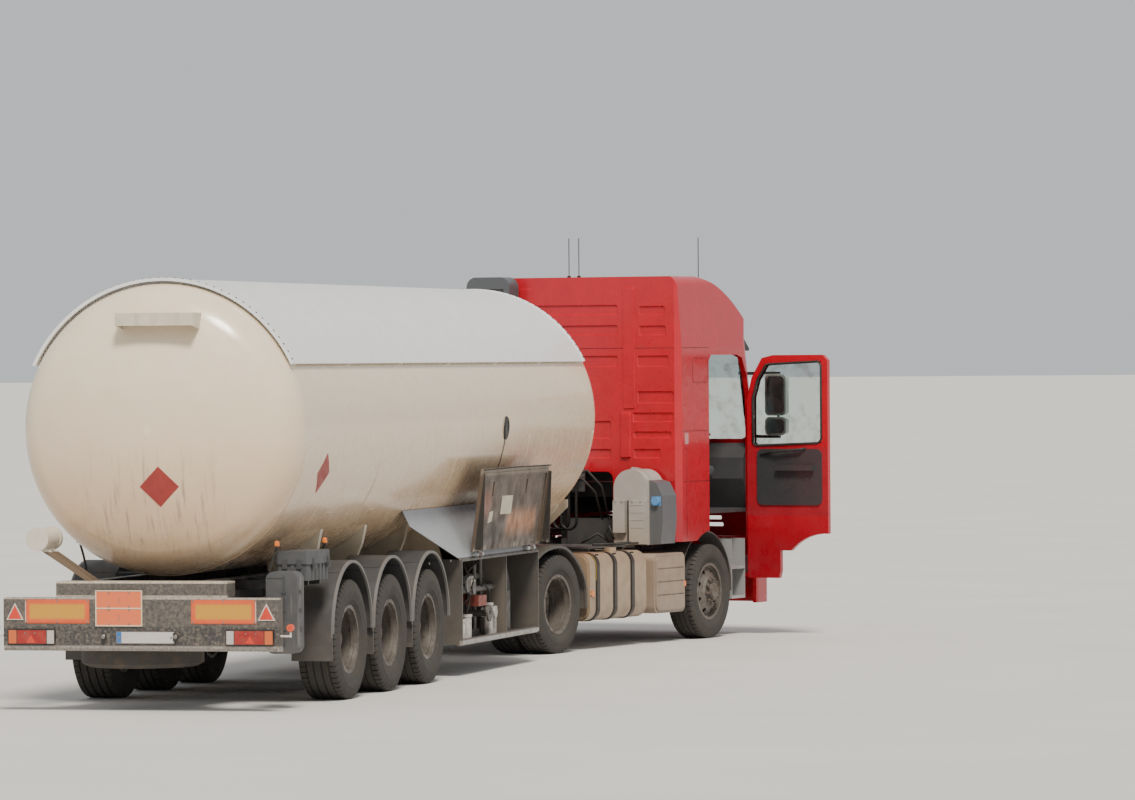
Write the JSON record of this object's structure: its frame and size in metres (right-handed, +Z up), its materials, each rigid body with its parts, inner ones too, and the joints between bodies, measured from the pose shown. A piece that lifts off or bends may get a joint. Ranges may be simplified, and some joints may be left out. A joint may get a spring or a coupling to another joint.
{
  "type": "articulated tank lorry for liquefied gas",
  "caption": "High-roof sleeper-cab tractor unit coupled to a gas tank semi-trailer with sun shield, side pump cabinet and open cab door.",
  "frame": {"origin": "under the middle of the whole lorry's box, on the ground that the tyres stand on", "axes": "+X forward along the semi-trailer, +Y to its left, +Z up; the tractor stands turned 12.8 degrees to the right about the kingpin"},
  "size_m": [16.1168, 4.5534, 4.325],
  "materials": {
    "tank_cream": "semi-gloss cream paint, dusty below",
    "shield_white": "off-white painted sheet",
    "trailer_steel": "dusty black paint",
    "axle_steel": "dirty black axle paint",
    "mudguard_plastic": "dark grey plastic",
    "cabinet_grey": "grey paint, dirty",
    "pump_steel": "pumps, pipes and reel",
    "locker_grey": "grey paint",
    "support_cream": "cream paint",
    "leg_steel": "black paint",
    "bumper_grey": "dark grey, speckled with dirt",
    "lamp_red": "lamps, reflectors and plates",
    "box_plastic": "grey moulded plastic",
    "flap_steel": "stained stainless sheet",
    "tractor_steel": "dusty black paint",
    "engine_iron": "dark casting",
    "coupling_iron": "greased casting",
    "tractor_plastic": "dark grey plastic",
    "fuel_aluminium": "plain aluminium with black straps",
    "side_box_grey": "silver-grey paint",
    "catwalk_steel": "treadplate and pipework",
    "intake_plastic": "silver-grey plastic",
    "cab_red": "crimson gloss paint",
    "door_red": "crimson gloss paint",
    "glass": "clear glass",
    "interior_grey": "dark grey trim",
    "seat_fabric": "dark woven fabric",
    "mirror_plastic": "black plastic",
    "antenna_black": "black rods",
    "tyre": "dusty tyre rubber",
    "rim_steel": "silver paint, rusty and dusty"
  },
  "bodies": {
    "trailer": {"tank_shell": "tank_cream", "sun_shield": "shield_white", "trailer_frame": "trailer_steel", "trailer_axles": "axle_steel", "trailer_mudguards": "mudguard_plastic", "pump_cabinet": "cabinet_grey", "pump_set": "pump_steel", "left_locker": "locker_grey", "tank_supports": "support_cream", "landing_legs": "leg_steel", "rear_bumper": "bumper_grey", "rear_lamps": "lamp_red", "rear_boxes": "box_plastic", "spare_wheel": "tyre"},
    "cabinet_flap": {"cabinet_flap": "flap_steel"},
    "tractor": {"tractor_frame": "tractor_steel", "engine_block": "engine_iron", "tractor_axles": "axle_steel", "fifth_wheel": "coupling_iron", "tractor_mudguards": "tractor_plastic", "fuel_tank": "fuel_aluminium", "side_boxes": "side_box_grey", "catwalk": "catwalk_steel", "air_intake": "intake_plastic", "cab_rear_wall": "cab_red", "cab_roof": "cab_red", "cab_sides": "cab_red", "cab_front": "cab_red", "windscreen": "glass", "cab_floor": "interior_grey", "seats": "seat_fabric", "front_bumper": "cab_red", "mirrors": "mirror_plastic", "roof_antennas": "antenna_black"},
    "door_left": {"door_left": "door_red", "door_glass_left": "glass"},
    "door_right": {"door_right": "door_red", "door_glass_right": "glass"},
    "knuckle_left": {"knuckle_left": "axle_steel"},
    "knuckle_right": {"knuckle_right": "axle_steel"},
    "wheel_trailer_1_left": {"tyre_trailer_1_left": "tyre", "rim_trailer_1_left": "rim_steel"},
    "wheel_trailer_1_right": {"tyre_trailer_1_right": "tyre", "rim_trailer_1_right": "rim_steel"},
    "wheel_trailer_2_left": {"tyre_trailer_2_left": "tyre", "rim_trailer_2_left": "rim_steel"},
    "wheel_trailer_2_right": {"tyre_trailer_2_right": "tyre", "rim_trailer_2_right": "rim_steel"},
    "wheel_trailer_3_left": {"tyre_trailer_3_left": "tyre", "rim_trailer_3_left": "rim_steel"},
    "wheel_trailer_3_right": {"tyre_trailer_3_right": "tyre", "rim_trailer_3_right": "rim_steel"},
    "wheel_drive_left": {"tyre_drive_left": "tyre", "rim_drive_left": "rim_steel"},
    "wheel_drive_right": {"tyre_drive_right": "tyre", "rim_drive_right": "rim_steel"},
    "wheel_front_left": {"tyre_front_left": "tyre", "rim_front_left": "rim_steel"},
    "wheel_front_right": {"tyre_front_right": "tyre", "rim_front_right": "rim_steel"}
  },
  "joints": [
    {"name": "articulation", "type": "hinge", "parent": "trailer", "child": "tractor", "pos_m": [3.49759, 0.73671, 1.135], "axis": [0, 0, 1], "range_deg": [-72.2, 97.8]},
    {"name": "flap_hinge", "type": "hinge", "parent": "trailer", "child": "cabinet_flap", "pos_m": [-0.47741, -0.52329, 1.15], "axis": [1, 0, 0], "range_deg": [0, 172]},
    {"name": "steer_left", "type": "hinge", "parent": "tractor", "child": "knuckle_left", "pos_m": [6.52457, 0.92066, 0.495], "axis": [0, 0, 1], "range_deg": [-40, 40]},
    {"name": "steer_right", "type": "hinge", "parent": "tractor", "child": "knuckle_right", "pos_m": [6.14794, -0.73709, 0.495], "axis": [0, 0, 1], "range_deg": [-40, 40]},
    {"name": "door_left_hinge", "type": "hinge", "parent": "tractor", "child": "door_left", "pos_m": [7.56219, 1.06435, 1.8], "axis": [0, 0, 1], "range_deg": [-85, 0]},
    {"name": "door_right_hinge", "type": "hinge", "parent": "tractor", "child": "door_right", "pos_m": [7.02161, -1.31502, 1.8], "axis": [0, 0, 1], "range_deg": [-85, 0]},
    {"name": "spin_trailer_1_left", "type": "hinge", "parent": "trailer", "child": "wheel_trailer_1_left", "pos_m": [-5.75241, 1.78921, 0.535], "axis": [0, 1, 0], "continuous": true},
    {"name": "spin_trailer_1_right", "type": "hinge", "parent": "trailer", "child": "wheel_trailer_1_right", "pos_m": [-5.75241, -0.31579, 0.535], "axis": [0, 1, 0], "continuous": true},
    {"name": "spin_trailer_2_left", "type": "hinge", "parent": "trailer", "child": "wheel_trailer_2_left", "pos_m": [-4.44241, 1.78921, 0.535], "axis": [0, 1, 0], "continuous": true},
    {"name": "spin_trailer_2_right", "type": "hinge", "parent": "trailer", "child": "wheel_trailer_2_right", "pos_m": [-4.44241, -0.31579, 0.535], "axis": [0, 1, 0], "continuous": true},
    {"name": "spin_trailer_3_left", "type": "hinge", "parent": "trailer", "child": "wheel_trailer_3_left", "pos_m": [-3.13241, 1.78921, 0.535], "axis": [0, 1, 0], "continuous": true},
    {"name": "spin_trailer_3_right", "type": "hinge", "parent": "trailer", "child": "wheel_trailer_3_right", "pos_m": [-3.13241, -0.31579, 0.535], "axis": [0, 1, 0], "continuous": true},
    {"name": "spin_drive_left", "type": "hinge", "parent": "tractor", "child": "wheel_drive_left", "pos_m": [3.00671, 1.7763, 0.507], "axis": [0.2215, 0.9751, 0], "continuous": true},
    {"name": "spin_drive_right", "type": "hinge", "parent": "tractor", "child": "wheel_drive_right", "pos_m": [2.60571, 0.01128, 0.507], "axis": [0.2215, 0.9751, 0], "continuous": true},
    {"name": "spin_front_left", "type": "hinge", "parent": "knuckle_left", "child": "wheel_front_left", "pos_m": [6.57198, 1.12934, 0.507], "axis": [0.2215, 0.9751, 0], "continuous": true},
    {"name": "spin_front_right", "type": "hinge", "parent": "knuckle_right", "child": "wheel_front_right", "pos_m": [6.10053, -0.94578, 0.507], "axis": [0.2215, 0.9751, 0], "continuous": true}
  ],
  "couplings": [
    {"joint": "steer_right", "follows": "steer_left", "ratio": 1}
  ]
}
